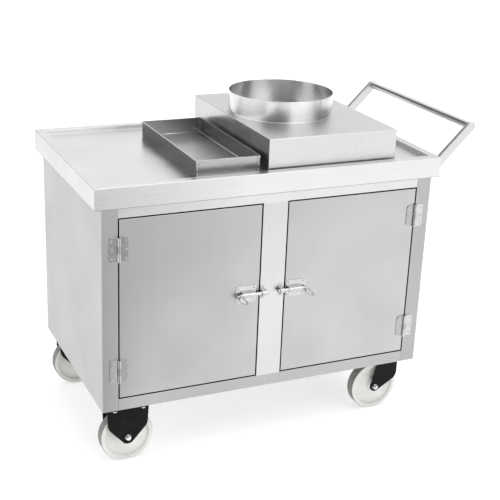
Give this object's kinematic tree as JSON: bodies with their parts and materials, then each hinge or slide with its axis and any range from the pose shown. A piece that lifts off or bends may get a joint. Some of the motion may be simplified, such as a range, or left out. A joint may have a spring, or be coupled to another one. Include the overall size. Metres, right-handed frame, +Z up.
{
  "type": "popcorn cart",
  "caption": "Stainless steel serving cart: two-door cabinet on casters, sunk worktop with a push handle, loose shallow tray and loose riser with a round collar.",
  "frame": {"origin": "middle of the cart's box, on the ground under the wheels", "axes": "+X towards the push handle, along the front; +Y from the doors towards the back; +Z up"},
  "size_m": [1.1284, 0.6338, 0.9465],
  "materials": {
    "stainless": "long-grain brushed stainless steel",
    "polished": "bright polished steel",
    "zinc": "zinc-plated steel, satin",
    "black_steel": "black gloss paint",
    "nylon": "moulded white nylon"
  },
  "bodies": {
    "cabinet": {"back_panel": "stainless", "floor_panel": "stainless", "centre_mullion": "stainless", "top_rail": "stainless", "bottom_rail": "stainless", "frame_angles": "stainless", "caster_gussets": "stainless", "back_panel_rivets": "stainless", "worktop": "stainless", "worktop_stiffeners": "stainless", "handle_front_arm": "stainless", "handle_back_arm": "stainless", "handle_bar": "stainless", "caster_bolts": "zinc", "left_side_panel": "stainless", "right_side_panel": "stainless", "left_front_post": "stainless", "right_front_post": "stainless", "hinge_frame_leaves": "polished", "hinge_pins": "polished", "frame_screws": "polished", "bolt_keepers": "polished", "swivel_plates": "black_steel", "kingpins": "zinc", "rigid_axles": "zinc", "rigid_front_fork": "black_steel", "rigid_back_fork": "black_steel"},
    "topping_tray": {"topping_tray": "stainless"},
    "riser": {"riser_box": "stainless", "riser_collar": "stainless", "collar_weld": "stainless"},
    "left_door": {"left_door_skin": "stainless", "left_door_liner": "stainless", "left_door_leaves": "polished", "left_bolt_barrel": "polished", "left_door_screws": "polished"},
    "left_bolt": {"left_bolt_rod": "polished", "left_ring_pull": "polished"},
    "right_door": {"right_door_skin": "stainless", "right_door_liner": "stainless", "right_door_leaves": "polished", "right_bolt_barrel": "polished", "right_door_screws": "polished"},
    "right_bolt": {"right_bolt_rod": "polished", "right_ring_pull": "polished"},
    "rigid_front_wheel": {"rigid_front_wheel": "nylon", "rigid_front_bush": "zinc"},
    "swivel_front_fork": {"swivel_front_fork": "black_steel", "swivel_front_race": "zinc", "swivel_front_axle": "zinc"},
    "swivel_front_wheel": {"swivel_front_wheel": "nylon", "swivel_front_bush": "zinc"},
    "rigid_back_wheel": {"rigid_back_wheel": "nylon", "rigid_back_bush": "zinc"},
    "swivel_back_fork": {"swivel_back_fork": "black_steel", "swivel_back_race": "zinc", "swivel_back_axle": "zinc"},
    "swivel_back_wheel": {"swivel_back_wheel": "nylon", "swivel_back_bush": "zinc"}
  },
  "joints": [
    {"name": "left_door_hinge", "type": "hinge", "parent": "cabinet", "child": "left_door", "pos_m": [-0.50025, -0.28795, 0.46525], "axis": [0, 0, -1], "range_deg": [0, 175]},
    {"name": "left_bolt_slide", "type": "slide", "parent": "left_door", "child": "left_bolt", "axis": [-1, 0, 0], "range_m": [0, 0.03]},
    {"name": "right_door_hinge", "type": "hinge", "parent": "cabinet", "child": "right_door", "pos_m": [0.37975, -0.28795, 0.46525], "axis": [0, 0, 1], "range_deg": [0, 175]},
    {"name": "right_bolt_slide", "type": "slide", "parent": "right_door", "child": "right_bolt", "axis": [1, 0, 0], "range_m": [0, 0.03]},
    {"name": "rigid_front_wheel_spin", "type": "hinge", "parent": "cabinet", "child": "rigid_front_wheel", "pos_m": [-0.46825, -0.23805, 0.075], "axis": [0, 1, 0], "continuous": true},
    {"name": "swivel_front_turn", "type": "hinge", "parent": "cabinet", "child": "swivel_front_fork", "pos_m": [0.36875, -0.21205, 0.1615], "axis": [0, 0, 1], "continuous": true},
    {"name": "swivel_front_wheel_spin", "type": "hinge", "parent": "swivel_front_fork", "child": "swivel_front_wheel", "pos_m": [0.32875, -0.21205, 0.075], "axis": [0, 1, 0], "continuous": true},
    {"name": "rigid_back_wheel_spin", "type": "hinge", "parent": "cabinet", "child": "rigid_back_wheel", "pos_m": [-0.46825, 0.24795, 0.075], "axis": [0, 1, 0], "continuous": true},
    {"name": "swivel_back_turn", "type": "hinge", "parent": "cabinet", "child": "swivel_back_fork", "pos_m": [0.36875, 0.22195, 0.1615], "axis": [0, 0, 1], "continuous": true},
    {"name": "swivel_back_wheel_spin", "type": "hinge", "parent": "swivel_back_fork", "child": "swivel_back_wheel", "pos_m": [0.32875, 0.22195, 0.075], "axis": [0, 1, 0], "continuous": true},
    {"name": "tray_lift", "type": "slide", "parent": "cabinet", "child": "topping_tray", "axis": [0, 0, 1], "range_m": [0, 0.3]},
    {"name": "riser_lift", "type": "slide", "parent": "cabinet", "child": "riser", "axis": [0, 0, 1], "range_m": [0, 0.3]}
  ]
}
